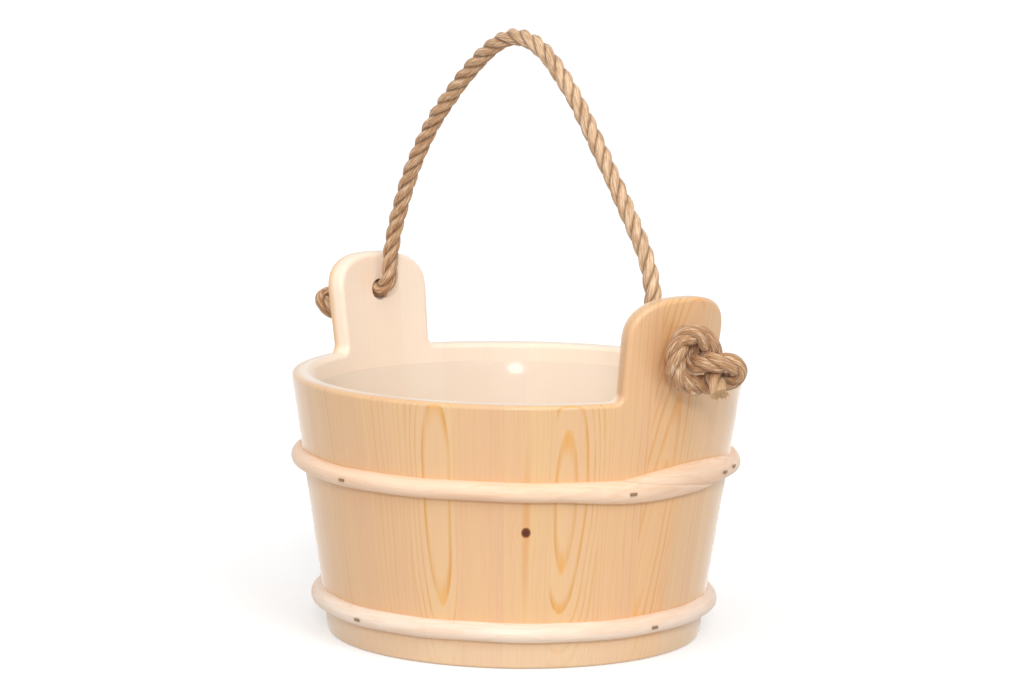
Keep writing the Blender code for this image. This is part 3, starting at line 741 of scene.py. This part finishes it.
# Rope handle: one length of 10 mm natural fibre rope, three strands laid up right-handed from twisted yarns.
# It is passed through both ears and stopped outside each one by an overhand knot with a short cut tail.
MM = 0.001
ROPE_DIAMETER = 0.0100
ROPE_LIFT = 0.0006
LEFT_KNOT_TURN = radians(-24)
LAY_LENGTH = 0.032
YARN_LENGTH = 0.029
YARNS = 6
STRANDS = 3
STRAND_RADIUS = 0.00272
STRAND_OFFSET = 0.00224
YARN_RELIEF = 0.055
RIGHT_KNOT_SWELL = 0.18
LEFT_KNOT_SWELL = 0.04
LEFT_KNOT_SIZE = 0.80
ROPE_SPACING = 0.0008
STRAND_SIDES = 30
# the arch is parted from its knots inside the holes
SPLIT_X = 0.1294
SWELL_FROM_HOLE, SWELL_IN = 0.009, 0.014
SWELL_FROM_TAIL, SWELL_OUT = 0.005, 0.016
STRAND_WAVE, STRAND_WAVE_LENGTH = 0.012, 0.017
STRAND_FLATNESS = 1.10
TAIL_OPENED, TAIL_SPREAD = 0.007, 0.22
TAIL_FRESH = 0.012
# knot, drawn tight: millimetres out from the ear, across it and up from the hole's axis, hole to tail
KNOT_ROUTE = (
    (5.5, 0.3, -0.6), (8.2, -0.8, -6.0), (12.6, -2.2, -12.0), (19.8, -0.2, -11.6), (27.0, 4.6, -11.5),
    (30.0, 11.0, -13.3), (27.0, 16.2, -18.4), (20.2, 15.6, -22.8), (14.0, 11.0, -25.2), (10.8, 4.0, -25.8),
    (9.6, -4.6, -24.6), (9.4, -11.4, -20.6), (9.8, -14.8, -13.8), (11.0, -15.4, -5.4), (13.0, -13.0, 1.6),
    (17.2, -7.2, 4.2), (19.3, -0.6, 0.4), (17.6, 5.0, -5.0), (14.8, 8.0, -11.2), (16.6, 8.0, -17.8),
    (22.8, 4.2, -23.0), (28.0, 1.8, -28.9),
)
# arch: millimetres along X and up from the holes' axis, left to right
ARCH_ROUTE = (
    (-124.4, 0.6), (-120.2, 1.8), (-116.9, 5.0), (-115.2, 10.5), (-114.6, 20.5), (-111.2, 36.3),
    (-104.7, 54.1), (-97.0, 72.1), (-87.5, 88.0), (-75.6, 104.8), (-61.1, 120.5), (-44.6, 136.0),
    (-27.0, 149.4), (-10.0, 156.6), (6.0, 155.8), (20.4, 148.9), (34.0, 137.0), (46.1, 124.0),
    (57.2, 110.0), (66.9, 96.7), (76.6, 83.5), (86.0, 70.3), (94.8, 57.3), (102.8, 45.0),
    (108.3, 32.5), (110.9, 22.0), (111.4, 13.6), (113.1, 7.1), (117.9, 2.3), (124.4, 0.6),
)
face = outer_radius(HOLE_HEIGHT)


def knot_points(side, turn, size):
    """A knot's route from the hole to the tail, round the swing axis."""
    placed = Matrix.Rotation(turn, 3, "X") @ Matrix.Rotation(0.0 if side > 0 else pi, 3, "Z")
    return [placed @ (Vector((face, 0, 0)) + Vector(place) * MM * size) for place in KNOT_ROUTE]


def even_points(route, spacing):
    """Points an equal step apart on one smooth curve through the route's points."""
    curve = []
    for i in range(len(route) - 1):
        before, start, end = route[max(i - 1, 0)], route[i], route[i + 1]
        after = route[min(i + 2, len(route) - 1)]
        third = (end - start).length / 3
        curve += interpolate_bezier(start, start + (end - before).normalized() * third,
                                    end - (after - start).normalized() * third, end, 25)[:-1]
    curve.append(route[-1])
    points, walked, wanted = [curve[0]], 0.0, spacing
    for near, far in zip(curve, curve[1:]):
        length = (far - near).length
        while walked + length >= wanted:
            points.append(near.lerp(far, (wanted - walked) / length))
            wanted += spacing
        walked += length
    return points


# from tail to tail; the left tail is cut one point shorter
left_knot_route = knot_points(-1, LEFT_KNOT_TURN, LEFT_KNOT_SIZE)[:-1]
route = [*reversed(left_knot_route), Vector((-face, 0, ROPE_LIFT)),
         *(Vector((x * MM, 0, up * MM)) for x, up in ARCH_ROUTE),
         Vector((face, 0, ROPE_LIFT)), *knot_points(1, 0.0, 1.0)]
centre = [point + Vector((0, 0, HOLE_HEIGHT)) for point in even_points(route, ROPE_SPACING)]


def from_tail(i):
    """Distance along the rope to its nearer cut end."""
    return min(i, len(centre) - 1 - i) * ROPE_SPACING


# how much thicker each point is: the rope is squeezed open in its knots, and most in the looser right one
split_left = min(range(len(centre) // 2), key=lambda i: abs(centre[i].x + SPLIT_X))
split_right = min(range(len(centre) // 2, len(centre)), key=lambda i: abs(centre[i].x - SPLIT_X))
swelling = []
for i in range(len(centre)):
    from_hole = max(split_left - i, i - split_right) * ROPE_SPACING
    entering = clamp((from_hole - SWELL_FROM_HOLE) / SWELL_IN)
    leaving = clamp((from_tail(i) - SWELL_FROM_TAIL) / SWELL_OUT)
    most = RIGHT_KNOT_SWELL if centre[i].x > 0 else LEFT_KNOT_SWELL
    swelling.append(most * (3 - 2 * entering) * entering ** 2 * (3 - 2 * leaving) * leaving ** 2)

# a frame at each point that doesn't twist by itself: along, and one direction across
ways = [(centre[min(i + 1, len(centre) - 1)] - centre[max(i - 1, 0)]).normalized() for i in range(len(centre))]
acrosses = [ways[0].orthogonal().normalized()]
for i in range(1, len(centre)):
    acrosses.append((ways[i - 1].rotation_difference(ways[i]) @ acrosses[-1]).normalized())
rope_seed = Random(10)
waves = [[(rope_seed.uniform(0.0, tau), rope_seed.uniform(0.7, 1.3)) for wave in range(4)] for strand in range(STRANDS)]


def strand_place(i, strand, around):
    """Point on a strand's skin, its place in the strand, and how far out of the rope it lies."""
    along = i * ROPE_SPACING
    lay = tau * (strand / STRANDS + along / LAY_LENGTH)
    opened = max(0.0, 1 - from_tail(i) / TAIL_OPENED) ** 2
    wave = sum(sin(start + along * tau * speed / STRAND_WAVE_LENGTH / (k + 1))
               for k, (start, speed) in enumerate(waves[strand]))
    swell = 1 + STRAND_WAVE * wave + swelling[i]
    yarn = around + tau * along / YARN_LENGTH
    radius = STRAND_RADIUS * swell * (1 - YARN_RELIEF * (0.5 - 0.5 * cos(YARNS * yarn)) ** 2 * 2)
    offset = STRAND_OFFSET * (1 + swelling[i] + TAIL_SPREAD * opened)
    out = Vector((cos(lay), sin(lay)))
    flat = out * (offset + radius * cos(around)) + Vector((-out.y, out.x)) * radius * STRAND_FLATNESS * sin(around)
    up = ways[i].cross(acrosses[i])
    point = centre[i] + acrosses[i] * flat.x + up * flat.y
    fibre = (STRAND_RADIUS * cos(yarn) + strand * 0.02, STRAND_RADIUS * sin(yarn), along)
    return point, fibre, flat.length / (ROPE_DIAMETER / 2)


def painted_paleness(i):
    """How pale the rope is painted: palest on its right half, as painted light for the brighter light it catches, less
    on its left half, not at all in its knots; the cut ends' own paleness is added apart.
    """
    x = centre[i].x
    return (0.30 + 0.70 * clamp(0.5 + (x + 0.005) / 0.030)) * clamp((face + 0.006 - abs(x)) / 0.012)


def rope_piece(name, first, last):
    """Three closed strands between two points of the rope."""
    points, fibres, shade_light_and_cuts, faces = [], [], [], []
    for strand in range(STRANDS):
        start = len(points)
        for i in range(first, last + 1):
            cut = max(0.0, 1 - from_tail(i) / TAIL_FRESH)
            for side in range(STRAND_SIDES):
                point, fibre, out = strand_place(i, strand, tau * side / STRAND_SIDES)
                points.append(point)
                fibres.append(fibre)
                shade_light_and_cuts.append((out, painted_paleness(i), cut))
        for row in range(last - first):
            for side in range(STRAND_SIDES):
                a, b = start + row * STRAND_SIDES + side, start + row * STRAND_SIDES + (side + 1) % STRAND_SIDES
                faces.append((a, b, b + STRAND_SIDES, a + STRAND_SIDES))
        faces.append([start + side for side in reversed(range(STRAND_SIDES))])
        faces.append([len(points) - STRAND_SIDES + side for side in range(STRAND_SIDES)])
    made = piece_of(name, points, [], faces)
    mark(made, "fibre", fibres)
    mark(made, "shade_light_and_cut", shade_light_and_cuts)
    return made


# manila: stiff straw-brown leaf fibres with pale threads along each yarn, partly painted highlight; painted shade
# darkens the grooves between the strands, and painted light makes the rope's right half paler
manila, shader = new_material("manila_fibre")
fibre, shade_light_and_cut_vector = (add(manila, "Attribute", attribute_name=label).outputs["Vector"] for label in ("fibre", "shade_light_and_cut"))
shade_light_and_cut = add(manila, "SeparateXYZ", {0: shade_light_and_cut_vector}).outputs
thread_place = add(manila, "VectorMath", {0: fibre, 1: (1 / 0.00055, 1 / 0.00055, 1 / 0.006)}, operation="MULTIPLY")
thread = add(manila, "TexNoise", {"Vector": thread_place, "Scale": 1.0, "Detail": 3.0, "Roughness": 0.6})
patch_place = add(manila, "VectorMath", {0: fibre, 1: (1 / 0.0030, 1 / 0.0030, 1 / 0.018)}, operation="MULTIPLY")
patch = add(manila, "TexNoise", {"Vector": patch_place, "Scale": 1.0, "Detail": 2.0})
# painted light: the rope's right half is mixed towards the paler brown
brown = add(manila, "Mix", {0: shade_light_and_cut[1], 6: linear("#BE8F63"), 7: linear("#EAC49C")}, **COLOUR)
uneven = add(manila, "MapRange", {0: patch, 1: 0.35, 2: 0.65, 3: 0.55, 4: 0.0})
mottled = add(manila, "Mix", {0: uneven, 6: brown, 7: linear("#A36E45")}, **COLOUR)
# pale threads along the yarns, partly the fibres' own colour and partly painted highlight
pale_thread_highlight = add(manila, "MapRange", {0: thread, 1: 0.50, 2: 0.66, 3: 0.0, 4: 0.85})
threaded = add(manila, "Mix", {0: pale_thread_highlight, 6: mottled, 7: linear("#F6DDBC")}, **COLOUR)
dusky = add(manila, "MapRange", {0: thread, 1: 0.32, 2: 0.47, 3: 0.60, 4: 0.0})
dark_thread = add(manila, "Mix", {0: dusky, 6: threaded, 7: linear("#7C542F")}, **COLOUR)
# painted shade: the colour is darker in the grooves between the strands
groove = add(manila, "MapRange", {0: shade_light_and_cut[0], 1: 0.62, 2: 0.90, 3: 0.65, 4: 0.0}, **SOFT)
grooved = add(manila, "Mix", {0: groove, 6: dark_thread, 7: linear("#6B4623")}, **COLOUR)
fresh = add(manila, "Math", {0: shade_light_and_cut[2], 1: 0.75}, operation="MULTIPLY")
ended = add(manila, "Mix", {0: fresh, 6: grooved, 7: linear("#D8B488")}, **COLOUR)
bump = add(manila, "Bump", {"Strength": 0.8, "Distance": 0.0005, "Height": thread})
feed(manila, shader, {"Base Color": ended, "Normal": bump, "Roughness": 0.68, "Sheen Weight": 0.25,
                      "Sheen Roughness": 0.4})

arch = rope_piece("rope_arch", split_left, split_right)
left_knot = rope_piece("rope_knot_left", 0, split_left)
right_knot = rope_piece("rope_knot_right", split_right, len(centre) - 1)
for piece in (arch, left_knot, right_knot):
    fit(piece, manila, "rope_fibre", "handle", "rope_handle", crease=70)

# Loose fibres: short ends of leaf fibre that stand out of the rope, and the fray at its two cut ends.
# They are modelled a little thicker than life, about 0.12 mm, so that they show.
FIBRE_THICKNESS = 0.00012
FIBRE_BENDS = 4
LOOSE_FIBRES = 420
FRAYED_FIBRES = 110
# no fibres from here to here along X, where the rope rubs in the ears
EAR_CLEARANCE = (0.105, face + 0.016)
points, fibres, shade_light_and_cuts, faces = [], [], [], []


def loose_fibre(start, way, out, length, lift, pale, place):
    """One tapering three-sided fibre that leaves the rope along a yarn and curls outwards."""
    side = way.cross(out).normalized()
    curl = rope_seed.uniform(-0.5, 0.5) * lift
    first = len(points)
    for step in range(FIBRE_BENDS + 1):
        share = step / FIBRE_BENDS
        middle = start + way * length * share + out * lift * share ** 1.6 + side * curl * share ** 2
        thick = FIBRE_THICKNESS * (1 - 0.6 * share)
        for corner in range(3):
            turn = tau * corner / 3
            points.append(middle + (out * cos(turn) + side * sin(turn)) * thick)
            fibres.append((place[0], place[1], place[2] + length * share))
            shade_light_and_cuts.append((1.0, pale, 0.6))
    for step in range(FIBRE_BENDS):
        for corner in range(3):
            a, b = first + 3 * step + corner, first + 3 * step + (corner + 1) % 3
            faces.append((a, b, b + 3, a + 3))
    faces.append((first + 2, first + 1, first))
    faces.append((len(points) - 3, len(points) - 2, len(points) - 1))


for number in range(LOOSE_FIBRES):
    i = rope_seed.randrange(4, len(centre) - 4)
    strand = rope_seed.randrange(STRANDS)
    around = rope_seed.uniform(-1.1, 1.1)
    length, lift = rope_seed.uniform(0.003, 0.007), rope_seed.uniform(0.0003, 0.0014)
    ahead = rope_seed.choice((-1, 1))
    if EAR_CLEARANCE[0] < abs(centre[i].x) < EAR_CLEARANCE[1]:
        continue
    start, place, _ = strand_place(i, strand, around)
    way = (strand_place(i + 2, strand, around - tau * 2 * ROPE_SPACING / YARN_LENGTH)[0] - start).normalized() * ahead
    out = start - centre[i]
    out = (out - way * out.dot(way)).normalized()
    loose_fibre(start - out * FIBRE_THICKNESS, way, out, length, lift, painted_paleness(i), place)
for end, ahead in ((0, -1), (len(centre) - 1, 1)):
    for number in range(FRAYED_FIBRES):
        strand = rope_seed.randrange(STRANDS)
        around, inset = rope_seed.uniform(0, tau), rope_seed.uniform(0.1, 0.95)
        skin, place, _ = strand_place(end, strand, around)
        lay = tau * (strand / STRANDS + end * ROPE_SPACING / LAY_LENGTH)
        out = acrosses[end] * cos(lay) + ways[end].cross(acrosses[end]) * sin(lay)
        start = (centre[end] + out * STRAND_OFFSET * (1 + TAIL_SPREAD)).lerp(skin, inset) - ways[end] * ahead * 0.0008
        spread = (skin - centre[end]).normalized()
        loose_fibre(start, ways[end] * ahead, spread, rope_seed.uniform(0.0012, 0.0036),
                    rope_seed.uniform(0.0, 0.0008), 0.5, place)
fuzz = piece_of("rope_loose_fibres", points, [], faces)
mark(fuzz, "fibre", fibres)
mark(fuzz, "shade_light_and_cut", shade_light_and_cuts)
fit(fuzz, manila, "rope_fibre", "handle", crease=80)

# Studio: a plain white floor under an even white surround, with four soft lamps: a key from the right, a wider
# fill from the left, a narrow one from just over the camera, and one from above.
# The floor and the surround read as white to the camera and in reflections.
AMBIENT = 0.47
FLOOR_GLOW = 0.45
FLOOR_REACH = 60.0


def seen_directly(made):
    """1 for rays from the camera, a reflection or through something clear, else 0."""
    rays = add(made, "LightPath")
    either = add(made, "Math", {0: rays.outputs["Is Camera Ray"], 1: rays.outputs["Is Glossy Ray"]},
                 operation="MAXIMUM")
    return add(made, "Math", {0: either, 1: rays.outputs["Is Transmission Ray"]}, operation="MAXIMUM")


world = bpy.data.worlds.new("white_surround")
bpy.context.scene.world = world
world.use_nodes = True
strength = add(world, "MapRange", {0: seen_directly(world), 3: AMBIENT, 4: 1.0})
feed(world, world.node_tree.nodes["Background"], {"Color": (1.0, 1.0, 1.0, 1.0), "Strength": strength})

bpy.ops.mesh.primitive_plane_add(size=FLOOR_REACH)
floor = bpy.context.object
floor.name = "floor"
white_floor = bpy.data.materials.new("matt_white_floor")
white_floor.use_nodes = True
white_floor.node_tree.nodes.clear()
matt = add(white_floor, "BsdfDiffuse", {"Color": linear("#D2D2D2")})
lift = add(white_floor, "Math", {0: seen_directly(white_floor), 1: FLOOR_GLOW}, operation="MULTIPLY")
glow = add(white_floor, "Emission", {"Strength": lift})
both = add(white_floor, "AddShader", {0: matt, 1: glow})
add(white_floor, "OutputMaterial", {0: both})
floor.data.materials.append(white_floor)

# lamps: name, bearing and height in degrees as the views give them, strength on a face turned to it, softness
for name, bearing, height, level, spread in (("key", 76, 36, 0.24, 25), ("fill", 0, 35, 0.14, 50),
                                              ("front", 49, 24, 0.30, 9), ("top", 60, 72, 0.20, 40)):
    lamp = bpy.data.lights.new(name, "SUN")
    lamp.energy = level * pi
    lamp.angle = radians(spread)
    turned = Matrix.Rotation(radians(bearing), 4, "Z")
    put(name, lamp).matrix_world = turned @ Matrix.Rotation(radians(90 - height), 4, "X")

# Camera: a long lens a little higher than the handle, turned 48 degrees round from square on to the handle.
CAMERA_BEARING, CAMERA_DISTANCE, CAMERA_HEIGHT = radians(48), 2.1108, 0.4608
CAMERA_DIP, CAMERA_ROLL = 0.140, 0.0145
view = bpy.data.cameras.new("camera")
view.lens = 128.7
view.clip_end = 200.0
camera = put("camera", view)
stand = polar(CAMERA_DISTANCE, CAMERA_BEARING - pi / 2, CAMERA_HEIGHT)
camera.matrix_world = (Matrix.Translation(stand) @ Matrix.Rotation(CAMERA_BEARING, 4, "Z")
                       @ Matrix.Rotation(pi / 2 - CAMERA_DIP, 4, "X") @ Matrix.Rotation(CAMERA_ROLL, 4, "Z"))
bpy.context.scene.camera = camera
bpy.context.scene.view_settings.view_transform = "Standard"
